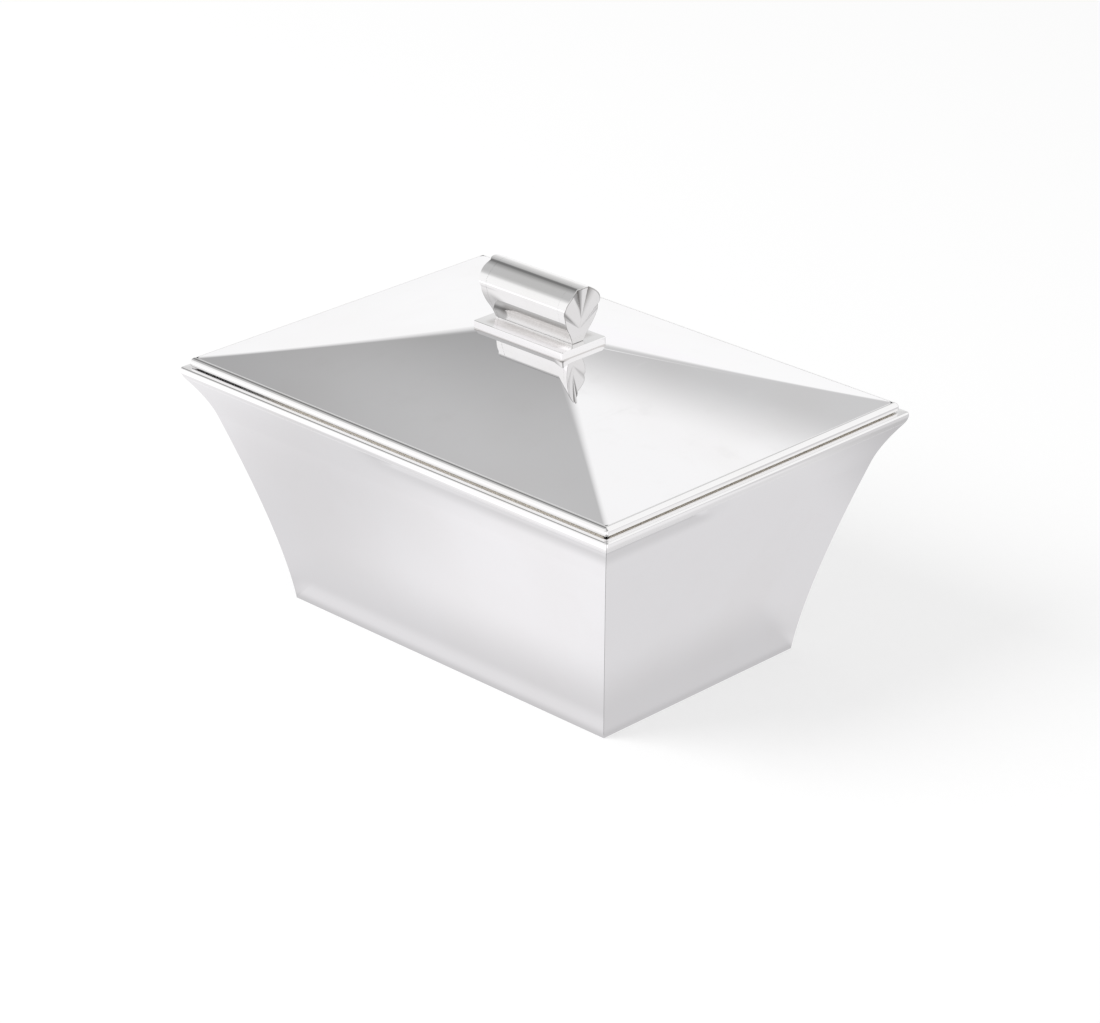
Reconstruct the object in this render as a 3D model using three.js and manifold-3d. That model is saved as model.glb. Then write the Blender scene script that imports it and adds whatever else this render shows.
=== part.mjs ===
// A silver-plated biscuit box: an oblong box of flared sheet walls with a flat rim, and a loose
// hipped lid that lifts off by a bar-shaped grip with pleated fan ends.
// Millimetres, +Z up. The origin is the middle of the underside; X runs along the length and
// the front long wall faces -Y.

import * as THREE from 'three';
import { mergeVertices } from 'three/addons/utils/BufferGeometryUtils.js';
import Module from 'manifold-3d';

const wasm = await Module();
wasm.setup();

// Driving dimensions of the box.
const footLength = 155;
const footWidth = 95;
const boxHeight = 90.6;
const flare = 27.5;
const wallSheet = 1.2;
const wallBendHeight = 25;
const wallTopLean = 0.323;
const coveHeight = 14.9;
const coveReach = 8.1;
const coveBendRise = 6.9;
const floorThickness = 1.5;

// Driving dimensions of the flat rim that stiffens the mouth.
const lipHeight = 4;
const lipReach = 1.1;
const lipFlat = 1.2;
const rimEdgeBreak = 0.3;
const ledgeWidth = 8.2;
const ledgeThickness = 2;

// Driving dimensions of the lid.
const lidInset = 2.6;
const lidSheet = 1;
const beadDepth = 1.65;
const beadHeight = 2.9;
const beadRound = 1.6;
const beadLift = 0.3;
const roofRise = 16.5;
const eaveRadius = 1.6;
const hipRadius = 5;
const bezelDepth = 6;
const bezelSheet = 1;
const bezelFlangeRise = 1;

// Driving dimensions of the grip and the plate that it stands on. Heights of the grip's section
// are measured from the plate and widths from the middle plane.
const plateLength = 43.5;
const plateWidth = 21.7;
const plateThickness = 2.6;
const plateOverhang = 0.5;
const gripLength = 43.6;
const crestHeight = 21.2;
const crestHalfWidth = 2.7;
const crestRound = 0.55;
const shoulderHeight = 12.5;
const shoulderHalfWidth = 8.4;
const upperLobeBulge = 1.55;
const hipHeight = 4.6;
const hipHalfWidth = 5;
const lowerLobeBulge = 1;
const stemHalfWidth = 2.75;
const stemBendHeight = 3;
const fanLean = 3.4;
const fanEdge = 0.4;
const pleatDepth = 0.6;
const upperHeartHeight = 9.3;
const lowerHeartHeight = 5.2;

// Driving dimensions of the two fixings that hold the grip to the lid.
const studSpacing = 20;
const studDiameter = 4;
const studReach = 9;
const studTail = 1.5;
const washerDiameter = 9;
const washerThickness = 0.8;
const nutAcrossFlats = 7;
const nutThickness = 3.2;

// Clearances.
const seam = 0.2;
const lidGap = 0.3;
const bezelClearance = 0.5;
const boreClearance = 0.3;

// How finely curves are faceted.
const curveSteps = 8;
const cornerSteps = 5;
const roofSteps = 8;
const roundSteps = 32;
const fanShares = [1, 0.7, 0.4, 0.15];

const polishedSilver = new THREE.MeshStandardMaterial({ color: 0xe4e3e0, roughness: 0.08, metalness: 1 });
const insideSilver = new THREE.MeshStandardMaterial({ color: 0xd2cfc8, roughness: 0.3, metalness: 1 });
const brass = new THREE.MeshStandardMaterial({ color: 0xc2a35a, roughness: 0.35, metalness: 1 });

function addMesh(group, name, geometry, material) {
  const mesh = new THREE.Mesh(geometry, material);
  mesh.name = name;
  group.add(mesh);
  return mesh;
}

// Turns a closed geometry into a solid that can be cut.
function toSolid(geometry) {
  const bare = geometry.clone();
  bare.deleteAttribute('normal');
  bare.deleteAttribute('uv');
  const merged = mergeVertices(bare);
  const vertProperties = new Float32Array(merged.attributes.position.array);
  const triVerts = new Uint32Array(merged.index.array);
  return new wasm.Manifold(new wasm.Mesh({ numProp: 3, vertProperties, triVerts }));
}

function toGeometry(solid) {
  const mesh = solid.getMesh();
  const geometry = new THREE.BufferGeometry();
  geometry.setAttribute('position', new THREE.BufferAttribute(mesh.vertProperties, 3));
  geometry.setIndex(new THREE.BufferAttribute(mesh.triVerts, 1));
  geometry.computeVertexNormals();
  return geometry;
}

function uprightCylinder(radius, low, high) {
  const cylinder = new THREE.CylinderGeometry(radius, radius, high - low, roundSteps);
  cylinder.rotateX(Math.PI / 2);
  cylinder.translate(0, 0, (low + high) / 2);
  return cylinder;
}

// Bores the two stud holes through a piece, from one height to another.
function boreForStuds(geometry, low, high) {
  let solid = toSolid(geometry);
  for (const end of [-1, 1]) {
    const drill = uprightCylinder(studDiameter / 2 + boreClearance, low, high);
    drill.translate((end * studSpacing) / 2, 0, 0);
    solid = solid.subtract(toSolid(drill));
  }
  return toGeometry(solid);
}

// Joins a row of rings, each with the same count of points, into one closed body. The first and
// last rings are closed towards a middle point.
function loftRings(rings, startMiddle, endMiddle) {
  const count = rings[0].length;
  const points = [...rings.flat(), startMiddle, endMiddle];
  const startIndex = points.length - 2;
  const endIndex = points.length - 1;
  const lastRing = (rings.length - 1) * count;
  const index = [];
  for (let i = 0; i < count; i++) {
    const next = (i + 1) % count;
    for (let ring = 0; ring < lastRing; ring += count) {
      index.push(ring + i, ring + next, ring + count + next);
      index.push(ring + i, ring + count + next, ring + count + i);
    }
    index.push(next, i, startIndex);
    index.push(lastRing + i, lastRing + next, endIndex);
  }
  const geometry = new THREE.BufferGeometry().setFromPoints(points);
  geometry.setIndex(index);
  geometry.computeVertexNormals();
  return geometry;
}

// The four sides, each turned about the upright axis from the front.
const sides = [
  { name: 'front', turn: 0, halfRun: footLength / 2, halfDepth: footWidth / 2 },
  { name: 'right', turn: Math.PI / 2, halfRun: footWidth / 2, halfDepth: footLength / 2 },
  { name: 'back', turn: Math.PI, halfRun: footLength / 2, halfDepth: footWidth / 2 },
  { name: 'left', turn: -Math.PI / 2, halfRun: footWidth / 2, halfDepth: footLength / 2 },
];

// One length of sheet or moulding along a side, mitred at both ends. Its section is drawn as
// (distance out from the foot, height).
function mitredLength(section, side) {
  const geometry = new THREE.ExtrudeGeometry(section, {
    depth: 1,
    bevelEnabled: false,
    curveSegments: curveSteps,
  });
  const position = geometry.attributes.position;
  for (let i = 0; i < position.count; i++) {
    const reach = position.getX(i);
    const height = position.getY(i);
    const end = position.getZ(i) > 0.5 ? -1 : 1;
    const run = side.halfRun + reach - seam / 2;
    position.setXYZ(i, end * run, -(side.halfDepth + reach), height);
  }
  geometry.computeVertexNormals();
  return geometry;
}

function addFourLengths(group, kind, section, material) {
  for (const side of sides) {
    const length = addMesh(group, `${side.name}_${kind}`, mitredLength(section, side), material);
    length.rotation.z = side.turn;
  }
}

// Walls: each leans out on a long slow curve, then sweeps out in a cove to meet the rim.
const coveTop = new THREE.Vector2(flare - lipReach, boxHeight - lipHeight);
const wallTop = new THREE.Vector2(coveTop.x - coveReach, coveTop.y - coveHeight);
const wallFoot = new THREE.Vector2(0, 0);
const wallBend = new THREE.Vector2(
  wallTop.x - wallTopLean * (wallTop.y - wallBendHeight),
  wallBendHeight,
);
const coveBend = new THREE.Vector2(wallTop.x + wallTopLean * coveBendRise, wallTop.y + coveBendRise);
const wallCurve = new THREE.QuadraticBezierCurve(wallFoot, wallBend, wallTop);
const coveCurve = new THREE.QuadraticBezierCurve(wallTop, coveBend, coveTop);

function leanOf(tangent) {
  return tangent.x / tangent.y;
}

function sheetWidthAt(lean) {
  return wallSheet * Math.hypot(1, lean);
}

function wallSection() {
  const outer = [];
  const inner = [];
  for (const curve of [wallCurve, coveCurve]) {
    const first = curve === wallCurve ? 0 : 1;
    for (let step = first; step <= curveSteps; step++) {
      const point = curve.getPoint(step / curveSteps);
      const lean = leanOf(curve.getTangent(step / curveSteps));
      outer.push(point);
      inner.push(new THREE.Vector2(point.x - sheetWidthAt(lean), point.y));
    }
  }
  return new THREE.Shape([...outer, ...inner.reverse()]);
}

// Rim: a flat ledge for the lid, with a rolled lip that carries on the line of the cove.
const ledgeInnerEdge = flare - ledgeWidth;

function rimSection() {
  const coveTopLean = leanOf(coveCurve.getTangent(1));
  const low = coveTop.y + seam;
  const innerFoot = coveTop.x - sheetWidthAt(coveTopLean);
  const section = new THREE.Shape();
  section.moveTo(innerFoot, low);
  section.lineTo(coveTop.x, low);
  section.quadraticCurveTo(flare, low + lipReach / coveTopLean, flare, boxHeight - lipFlat);
  section.lineTo(flare, boxHeight - rimEdgeBreak);
  section.quadraticCurveTo(flare, boxHeight, flare - rimEdgeBreak, boxHeight);
  section.lineTo(ledgeInnerEdge, boxHeight);
  section.lineTo(ledgeInnerEdge, boxHeight - ledgeThickness);
  section.lineTo(innerFoot, boxHeight - ledgeThickness);
  section.closePath();
  return section;
}

const box = new THREE.Group();
addFourLengths(box, 'panel', wallSection(), polishedSilver);
addFourLengths(box, 'rim', rimSection(), polishedSilver);

// Floor: a flat sheet let in between the feet of the walls, flush with them underneath.
const floorInset = sheetWidthAt(leanOf(wallCurve.getTangent(0))) + seam;
const floorSheet = new THREE.BoxGeometry(
  footLength - 2 * floorInset,
  footWidth - 2 * floorInset,
  floorThickness,
);
addMesh(box, 'base_plate', floorSheet, polishedSilver).position.z = floorThickness / 2;

// Lid beads: mouldings along the four eaves, straight at the side and rounded over on top.
const beadBack = flare - lidInset - beadDepth;
const skirtLow = boxHeight + lidGap;
const beadLow = skirtLow + beadLift;
const eaveHeight = beadLow + beadHeight;

function beadSection() {
  const roundLow = eaveHeight - beadRound;
  const section = new THREE.Shape();
  section.moveTo(beadBack, beadLow);
  section.lineTo(beadBack + beadDepth, beadLow);
  section.lineTo(beadBack + beadDepth, roundLow);
  section.absellipse(beadBack, roundLow, beadDepth, beadRound, 0, Math.PI / 2, false, 0);
  section.closePath();
  return section;
}

const lid = new THREE.Group();
addFourLengths(lid, 'bead', beadSection(), polishedSilver);

// Lid roof: one pressed sheet with four flat sloping faces, soft hips, a flat table on top and a
// short skirt turned down behind the beads.
const eaveHalfLength = footLength / 2 + beadBack - seam;
const eaveHalfWidth = footWidth / 2 + beadBack - seam;
const tableHalfLength = plateLength / 2 - plateOverhang;
const tableHalfWidth = plateWidth / 2 - plateOverhang;
const tableHeight = eaveHeight + roofRise;

function roundedRing(halfLength, halfWidth, radius, height) {
  const ring = [];
  for (let corner = 0; corner < 4; corner++) {
    const signX = corner === 0 || corner === 3 ? 1 : -1;
    const signY = corner < 2 ? 1 : -1;
    for (let step = 0; step <= cornerSteps; step++) {
      const angle = (corner + step / cornerSteps) * (Math.PI / 2);
      const x = signX * (halfLength - radius) + radius * Math.cos(angle);
      const y = signY * (halfWidth - radius) + radius * Math.sin(angle);
      ring.push(new THREE.Vector3(x, y, height));
    }
  }
  return ring;
}

// The ring of the roof at a share of the way from the eave (0) to the table (1), set in by the
// sheet for the inner face.
function roofRing(share, sheet) {
  const halfLength = THREE.MathUtils.lerp(eaveHalfLength, tableHalfLength, share) - sheet;
  const halfWidth = THREE.MathUtils.lerp(eaveHalfWidth, tableHalfWidth, share) - sheet;
  const radius = THREE.MathUtils.lerp(eaveRadius, hipRadius, Math.sqrt(share)) - sheet;
  return roundedRing(halfLength, halfWidth, radius, eaveHeight + roofRise * share - sheet);
}

function skirtRing(sheet) {
  return roundedRing(eaveHalfLength - sheet, eaveHalfWidth - sheet, eaveRadius - sheet, skirtLow);
}

function lidRoof() {
  const shares = Array.from({ length: roofSteps + 1 }, (_, step) => step / roofSteps);
  const outer = [skirtRing(0), ...shares.map((share) => roofRing(share, 0))];
  const inner = [skirtRing(lidSheet), ...shares.map((share) => roofRing(share, lidSheet))];
  const tableMiddle = new THREE.Vector3(0, 0, tableHeight);
  const tableUnderside = new THREE.Vector3(0, 0, tableHeight - lidSheet);
  const shell = loftRings([...inner.reverse(), ...outer], tableUnderside, tableMiddle);
  return boreForStuds(shell, tableHeight - 2 * lidSheet, tableHeight + lidSheet);
}

addMesh(lid, 'lid_roof', lidRoof(), polishedSilver);

// Bezels: angle strips inside the skirt that drop into the mouth and keep the lid in place.
function bezelSection() {
  const face = ledgeInnerEdge - bezelClearance;
  const flangeEdge = beadBack - lidSheet - 2 * seam;
  const flangeLow = skirtLow + seam;
  const flangeHigh = flangeLow + bezelFlangeRise;
  const low = boxHeight - bezelDepth;
  const section = new THREE.Shape();
  section.moveTo(face - bezelSheet, low);
  section.lineTo(face, low);
  section.lineTo(face, flangeLow);
  section.lineTo(flangeEdge, flangeLow);
  section.lineTo(flangeEdge, flangeHigh);
  section.lineTo(face - bezelSheet, flangeHigh);
  section.closePath();
  return section;
}

addFourLengths(lid, 'bezel', bezelSection(), insideSilver);

// Grip plate: a flat oblong on the table, bored for the studs.
const plateLow = tableHeight + seam;
const plateTop = plateLow + plateThickness;
const plateBlank = new THREE.BoxGeometry(plateLength, plateWidth, plateThickness);
plateBlank.translate(0, 0, plateLow + plateThickness / 2);
addMesh(lid, 'grip_plate', boreForStuds(plateBlank, plateLow - seam, plateTop + seam), polishedSilver);

// Runs a section drawn as (Y, Z) along X, centred on the middle of the box.
function runAlongLength(section, length) {
  const geometry = new THREE.ExtrudeGeometry(section, {
    depth: length,
    bevelEnabled: false,
    curveSegments: curveSteps,
  });
  geometry.translate(0, 0, -length / 2);
  geometry.rotateX(Math.PI / 2);
  geometry.rotateZ(Math.PI / 2);
  return geometry;
}

// Grip bar: its section rises from a narrow stem through two lower lobes and two full upper lobes
// to a narrow crest. Each lobe is one petal of the fans at the ends.
const barLow = plateTop + seam;
const stemFoot = new THREE.Vector2(stemHalfWidth, barLow);
const stemBend = new THREE.Vector2(stemHalfWidth, plateTop + stemBendHeight);
const hip = new THREE.Vector2(hipHalfWidth, plateTop + hipHeight);
const shoulder = new THREE.Vector2(shoulderHalfWidth, plateTop + shoulderHeight);
const crestTop = plateTop + crestHeight;
const crestEdge = new THREE.Vector2(crestHalfWidth, crestTop - crestRound);
const crestBend = new THREE.Vector2(0, crestTop + crestRound);
const upperLobeBend = new THREE.Vector2(shoulder.x + upperLobeBulge, (shoulder.y + crestEdge.y) / 2);
const lowerLobeChord = shoulder.clone().sub(hip).normalize();
const lowerLobeBend = new THREE.Vector2(
  (hip.x + shoulder.x) / 2 + lowerLobeBulge * lowerLobeChord.y,
  (hip.y + shoulder.y) / 2 - lowerLobeBulge * lowerLobeChord.x,
);
const upperHeart = plateTop + upperHeartHeight;
const lowerHeart = plateTop + lowerHeartHeight;

function mirrored(point) {
  return new THREE.Vector2(-point.x, point.y);
}

// A petal is one stretch of the outline, with the heights on the spine of the fan that its two ends
// run in to.
function petal(from, bend, to, heartFrom, heartTo) {
  return { curve: new THREE.QuadraticBezierCurve(from, bend, to), heartFrom, heartTo, creased: true };
}

function mirroredPetal({ curve, heartFrom, heartTo }) {
  return petal(mirrored(curve.v2), mirrored(curve.v1), mirrored(curve.v0), heartTo, heartFrom);
}

const rightPetals = [
  petal(stemFoot, stemBend, hip, lowerHeart, lowerHeart),
  petal(hip, lowerLobeBend, shoulder, lowerHeart, lowerHeart),
  petal(shoulder, upperLobeBend, crestEdge, lowerHeart, upperHeart),
];
const crestPetal = petal(crestEdge, crestBend, mirrored(crestEdge), upperHeart, upperHeart);
const footEdge = {
  curve: new THREE.LineCurve(mirrored(stemFoot), stemFoot),
  heartFrom: lowerHeart,
  heartTo: lowerHeart,
  creased: false,
};
const leftPetals = rightPetals.map(mirroredPetal).reverse();
const petals = [...rightPetals, crestPetal, ...leftPetals, footEdge];

function barSection() {
  return new THREE.Shape(petals.flatMap(({ curve }) => curve.getPoints(curveSteps).slice(0, -1)));
}

const fanDepth = fanLean + pleatDepth + fanEdge + seam;
const barLength = gripLength - 2 * fanDepth;
const barBlank = runAlongLength(barSection(), barLength);
const studTop = plateTop + studReach;
addMesh(lid, 'grip_bar', boreForStuds(barBlank, plateTop, studTop + seam), polishedSilver);

// Fan ends: the petals are ridged along the middle, creased where they meet, and lean in from the
// crest down to the stem.
function fanFace(height) {
  return gripLength / 2 - (fanLean * (crestTop - height)) / crestHeight;
}

function fanRing(share) {
  const ring = [];
  for (const { curve, heartFrom, heartTo, creased } of petals) {
    for (let step = 0; step < curveSteps; step++) {
      const along = step / curveSteps;
      const heart = new THREE.Vector2(0, THREE.MathUtils.lerp(heartFrom, heartTo, along));
      const point = heart.lerp(curve.getPoint(along), share);
      const crease = creased ? Math.abs(2 * along - 1) : 1;
      const x = fanFace(point.y) - pleatDepth * crease * share;
      ring.push(new THREE.Vector3(x, point.x, point.y));
    }
  }
  return ring;
}

function fanEnd() {
  const backX = gripLength / 2 - fanDepth + seam;
  const face = fanRing(1);
  const back = face.map((point) => new THREE.Vector3(backX, point.y, point.z));
  const heartHeight = (upperHeart + lowerHeart) / 2;
  const backMiddle = new THREE.Vector3(backX, 0, heartHeight);
  const faceMiddle = new THREE.Vector3(fanFace(heartHeight), 0, heartHeight);
  const faceRings = fanShares.map((share) => fanRing(share));
  return loftRings([back, ...faceRings], backMiddle, faceMiddle);
}

for (const end of [{ name: 'right', turn: 0 }, { name: 'left', turn: Math.PI }]) {
  const fan = addMesh(lid, `${end.name}_fan`, fanEnd(), polishedSilver);
  fan.rotation.z = end.turn;
}

// Fixings: two studs run from the bar down through the plate and the roof, each with a washer and a
// nut inside the lid.
const washerHigh = tableHeight - lidSheet - seam;
const washerLow = washerHigh - washerThickness;
const nutHigh = washerLow - seam;
const nutLow = nutHigh - nutThickness;
const studLow = nutLow - studTail;

function ringSection(outline) {
  const hole = new THREE.Path();
  hole.absarc(0, 0, studDiameter / 2 + boreClearance, 0, 2 * Math.PI, true);
  outline.holes.push(hole);
  return outline;
}

function washerOutline() {
  const outline = new THREE.Shape();
  outline.absarc(0, 0, washerDiameter / 2, 0, 2 * Math.PI, false);
  return ringSection(outline);
}

function nutOutline() {
  const cornerRadius = nutAcrossFlats / Math.sqrt(3);
  const corners = Array.from({ length: 6 }, (_, corner) => {
    const angle = (corner * Math.PI) / 3;
    return new THREE.Vector2(cornerRadius * Math.cos(angle), cornerRadius * Math.sin(angle));
  });
  return ringSection(new THREE.Shape(corners));
}

function uprightPlate(outline, thickness) {
  return new THREE.ExtrudeGeometry(outline, {
    depth: thickness,
    bevelEnabled: false,
    curveSegments: roundSteps / 2,
  });
}

for (const end of [{ name: 'left', sign: -1 }, { name: 'right', sign: 1 }]) {
  const x = (end.sign * studSpacing) / 2;
  const stud = uprightCylinder(studDiameter / 2, studLow, studTop);
  addMesh(lid, `${end.name}_stud`, stud, brass).position.x = x;
  const washer = addMesh(lid, `${end.name}_washer`, uprightPlate(washerOutline(), washerThickness), brass);
  washer.position.set(x, 0, washerLow);
  const nut = addMesh(lid, `${end.name}_nut`, uprightPlate(nutOutline(), nutThickness), brass);
  nut.position.set(x, 0, nutLow);
}

const biscuitBox = new THREE.Group();
biscuitBox.add(box, lid);

export default biscuitBox;
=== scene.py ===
import math

import bmesh
import bpy
from mathutils import Matrix, Vector


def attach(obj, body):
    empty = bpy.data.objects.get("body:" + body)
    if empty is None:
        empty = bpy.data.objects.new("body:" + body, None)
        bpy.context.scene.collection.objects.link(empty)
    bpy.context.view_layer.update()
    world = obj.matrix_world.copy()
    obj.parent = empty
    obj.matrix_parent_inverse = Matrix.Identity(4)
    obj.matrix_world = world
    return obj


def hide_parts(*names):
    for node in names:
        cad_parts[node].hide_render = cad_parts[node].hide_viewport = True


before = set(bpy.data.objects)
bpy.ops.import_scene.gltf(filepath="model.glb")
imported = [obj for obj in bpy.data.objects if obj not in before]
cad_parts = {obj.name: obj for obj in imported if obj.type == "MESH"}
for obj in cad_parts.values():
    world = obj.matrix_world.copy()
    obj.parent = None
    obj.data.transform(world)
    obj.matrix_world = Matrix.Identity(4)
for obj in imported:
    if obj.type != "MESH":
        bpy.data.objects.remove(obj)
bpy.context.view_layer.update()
scene = bpy.context.scene
scene.view_settings.view_transform = "Standard"
mm = 0.001

# Camera. It stands off the near corner of the box and a little above the lid, as in the photograph.
# The focal length is in pixels of a picture that is 1100 pixels wide.
camera_turn = math.radians(44.887)
camera_rise = math.radians(24.674)
camera_roll = math.radians(-0.155)
camera_distance = 1400 * mm
camera_right = 3.39 * mm
camera_up = 39.69 * mm
focal_pixels = 3915
picture_pixels = 1100
sensor_width = 36
nearest_seen = 50 * mm

back = Vector((
    math.sin(camera_turn) * math.cos(camera_rise),
    -math.cos(camera_turn) * math.cos(camera_rise),
    math.sin(camera_rise),
))
level_right = Vector((math.cos(camera_turn), math.sin(camera_turn), 0))
right = Matrix.Rotation(camera_roll, 3, back) @ level_right
up = back.cross(right)
lens = bpy.data.cameras.new("camera")
lens.sensor_width = sensor_width
lens.sensor_fit = "HORIZONTAL"
lens.lens = focal_pixels * sensor_width / picture_pixels
lens.clip_start = nearest_seen
camera = bpy.data.objects.new("camera", lens)
camera.matrix_world = Matrix.Translation(
    back * camera_distance + right * camera_right + up * camera_up
) @ Matrix((right, up, back)).transposed().to_4x4()
scene.collection.objects.link(camera)
scene.camera = camera


# Studio. The box stands on a white table in a room that is white low down and grey overhead. It has
# softboxes ahead and at both sides, dark flags between and below them, and a wide soft lamp to the front
# left. Polished silver mirrors the room, and its far side is a copy of the near one.
class Signal:
    """A socket in a node tree. Sums on it add Math nodes, and node() adds any other node."""

    def __init__(self, tree, socket=None):
        self.tree = tree
        self.socket = socket

    def node(self, kind, settings=None, sockets=None, output=None):
        """Adds a node with its settings and what goes into its sockets, and gives the named output."""
        made = self.tree.nodes.new(kind)
        for name, setting in (settings or {}).items():
            if name == "stops":
                ramp = made.color_ramp
                while len(ramp.elements) < len(setting):
                    ramp.elements.new(1)
                for element, (position, level) in zip(ramp.elements, setting):
                    element.position = position
                    element.color = (level, level, level, 1)
            else:
                setattr(made, name, setting)
        for name, value in (sockets or {}).items():
            if isinstance(name, int):
                entry = made.inputs[name]
            else:
                entry = next(s for s in made.inputs if s.name == name and s.enabled)
            if isinstance(value, Signal):
                self.tree.links.new(value.socket, entry)
            else:
                entry.default_value = value
        outputs = [s for s in made.outputs if s.enabled and output in (None, s.name)]
        return Signal(self.tree, outputs[0] if outputs else None)

    def other(self, output):
        """Another output of the same node."""
        return Signal(self.tree, self.socket.node.outputs[output])

    def sum(self, operation, first, second=0):
        return self.node("ShaderNodeMath", {"operation": operation}, {0: first, 1: second})

    def __add__(self, other):
        return self.sum("ADD", self, other)

    def __sub__(self, other):
        return self.sum("SUBTRACT", self, other)

    def __rsub__(self, other):
        return self.sum("SUBTRACT", other, self)

    def __mul__(self, other):
        return self.sum("MULTIPLY", self, other)

    def __truediv__(self, other):
        return self.sum("DIVIDE", self, other)

    __radd__ = __add__
    __rmul__ = __mul__

    def smooth(self, low, high, at_low=0, at_high=1):
        """Runs smoothly from at_low to at_high as this value goes from low to high."""
        return self.node(
            "ShaderNodeMapRange",
            {"interpolation_type": "SMOOTHSTEP"},
            {"Value": self, "From Min": low, "From Max": high, "To Min": at_low, "To Max": at_high},
        )


def empty_tree(owner):
    """Clears the node tree of a world or a material for new nodes."""
    owner.use_nodes = True
    owner.node_tree.nodes.clear()
    return Signal(owner.node_tree)


backdrop_way = (-math.sin(camera_turn), math.cos(camera_turn), 0)
backdrop_across = (math.cos(camera_turn), math.sin(camera_turn), 0)
backdrop_fall = [(0, 1), (5, 1), (14, 0.88), (21, 0.77), (30, 0.67), (36, 0.62), (42, 0.54), (90, 0.56)]
shade_depth = 0.645
left_flag_depth = 0.3
right_flag_depth = 0.13
softbox_level = 0.985
softbox_tilt = 0.18
ambient_level = 0.62

# Each range gives the degrees, to the left of straight ahead or above the table, over which a thing fades.
shade_starts = (15, 26)
shade_ends = (40, 56)
shade_foot = (30, 44)
left_flag_starts = (8, 17)
left_flag_foot = (15, 27)
left_flag_top = (36, 41)
right_flag_ends = (-12, -6)
right_flag_foot = (14, 22)
right_flag_top = (24, 36)
side_glow_starts = (62, 86)
side_glow_top = (26, 44)
ahead_softbox_ends = (-10, 13)
side_softbox_starts = (72, 90)
softbox_gap_starts = (-24, -20)
softbox_gap_ends = (-13.9, -12.6)
softbox_foot = (36.2, 37.4)
softbox_top = (58, 66)

world = bpy.data.worlds.new("studio")
scene.world = world
studio = empty_tree(world)
direction = studio.node("ShaderNodeTexCoord", output="Generated")
ahead = studio.node(
    "ShaderNodeVectorMath", {"operation": "DOT_PRODUCT"}, {0: direction, 1: backdrop_way}, "Value"
)
sideways = studio.node(
    "ShaderNodeVectorMath", {"operation": "DOT_PRODUCT"}, {0: direction, 1: backdrop_across}, "Value"
)
upward = studio.node("ShaderNodeSeparateXYZ", sockets={0: direction}, output="Z")
to_left = studio.sum("ARCTANGENT", sideways / ahead) * math.degrees(-1)
to_side = studio.sum("ABSOLUTE", to_left)
rise = studio.sum("ARCSINE", upward) * math.degrees(1)
backdrop = studio.node(
    "ShaderNodeValToRGB",
    {"stops": [(angle / 90, level) for angle, level in backdrop_fall]},
    {"Fac": rise / 90},
    "Color",
)
shade = to_left.smooth(*shade_starts) * to_left.smooth(*shade_ends, 1, 0) * rise.smooth(*shade_foot)
left_flag = to_left.smooth(*left_flag_starts) * rise.smooth(*left_flag_foot)
left_flag = left_flag * rise.smooth(*left_flag_top, 1, 0)
right_flag = to_left.smooth(*right_flag_ends, 1, 0) * rise.smooth(*right_flag_foot)
right_flag = right_flag * rise.smooth(*right_flag_top, 1, 0)
flags = left_flag * left_flag_depth + right_flag * right_flag_depth
side_glow = to_side.smooth(*side_glow_starts) * rise.smooth(*side_glow_top, 1, 0)
softbox_gap = to_left.smooth(*softbox_gap_starts) * to_left.smooth(*softbox_gap_ends, 1, 0)
softbox_ahead = to_left.smooth(*ahead_softbox_ends, 1, 0)
softbox_width = studio.sum("MAXIMUM", softbox_ahead, to_left.smooth(*side_softbox_starts))
softbox_edge = rise + to_side * softbox_tilt
softbox_height = softbox_edge.smooth(*softbox_foot) * rise.smooth(*softbox_top, 1, 0)
softbox = softbox_width * softbox_height * (1 - softbox_gap)
room = backdrop * (1 - shade * shade_depth) * (1 - flags)
room = room + side_glow * (1 - room)
room = room + softbox * (softbox_level - room)
ray = studio.node("ShaderNodeLightPath", output="Is Camera Ray")
glossy = ray.other("Is Glossy Ray")
seen = ray + glossy * room + (1 - ray) * (1 - glossy) * ambient_level
sky = studio.node("ShaderNodeBackground", sockets={"Color": seen, "Strength": 1})
studio.node("ShaderNodeOutputWorld", sockets={"Surface": sky})

table_half = 3
table_white = 0.56
table_glow = 0.52
foot_half_length = 77.5 * mm
foot_half_width = 47.5 * mm
plain_level = 0.75
table_tint = (1, 0.992, 1.004)
pool_middle = (20 * mm, -120 * mm, 0)
pool_light = 0.19
pool_fade = (40 * mm, 130 * mm)
pool_start = (6 * mm, 26 * mm)
strip_light = 0.085
strip_start = (0.5 * mm, 4 * mm)
strip_stop = (5 * mm, 9 * mm)
foot_shade = 0.03
foot_fade = (8 * mm, 24 * mm)
end_shade = 0.07
end_start = 1 * mm
corner_fade = 10 * mm
contact_shade = 0.1
contact_fade = 3.5 * mm
front_light = 0.31
front_fade = (-122 * mm, -88 * mm)
end_light = 0.14
end_fade = (115 * mm, 200 * mm)
back_shade = 0.2
back_fade = (105 * mm, 165 * mm)
horizon_fade = (500 * mm, 900 * mm)

table_shape = bmesh.new()
bmesh.ops.create_grid(table_shape, x_segments=1, y_segments=1, size=table_half)
table_mesh = bpy.data.meshes.new("table")
table_shape.to_mesh(table_mesh)
table_shape.free()
table_paint = bpy.data.materials.new("white_table")
paint = empty_tree(table_paint)
table_diffuse = paint.node(
    "ShaderNodeBsdfDiffuse", sockets={"Color": (table_white, table_white, table_white, 1)}
)
table_light = paint.node("ShaderNodeEmission", sockets={"Strength": table_glow})
table_seen = paint.node("ShaderNodeAddShader", sockets={0: table_diffuse, 1: table_light})

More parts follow.
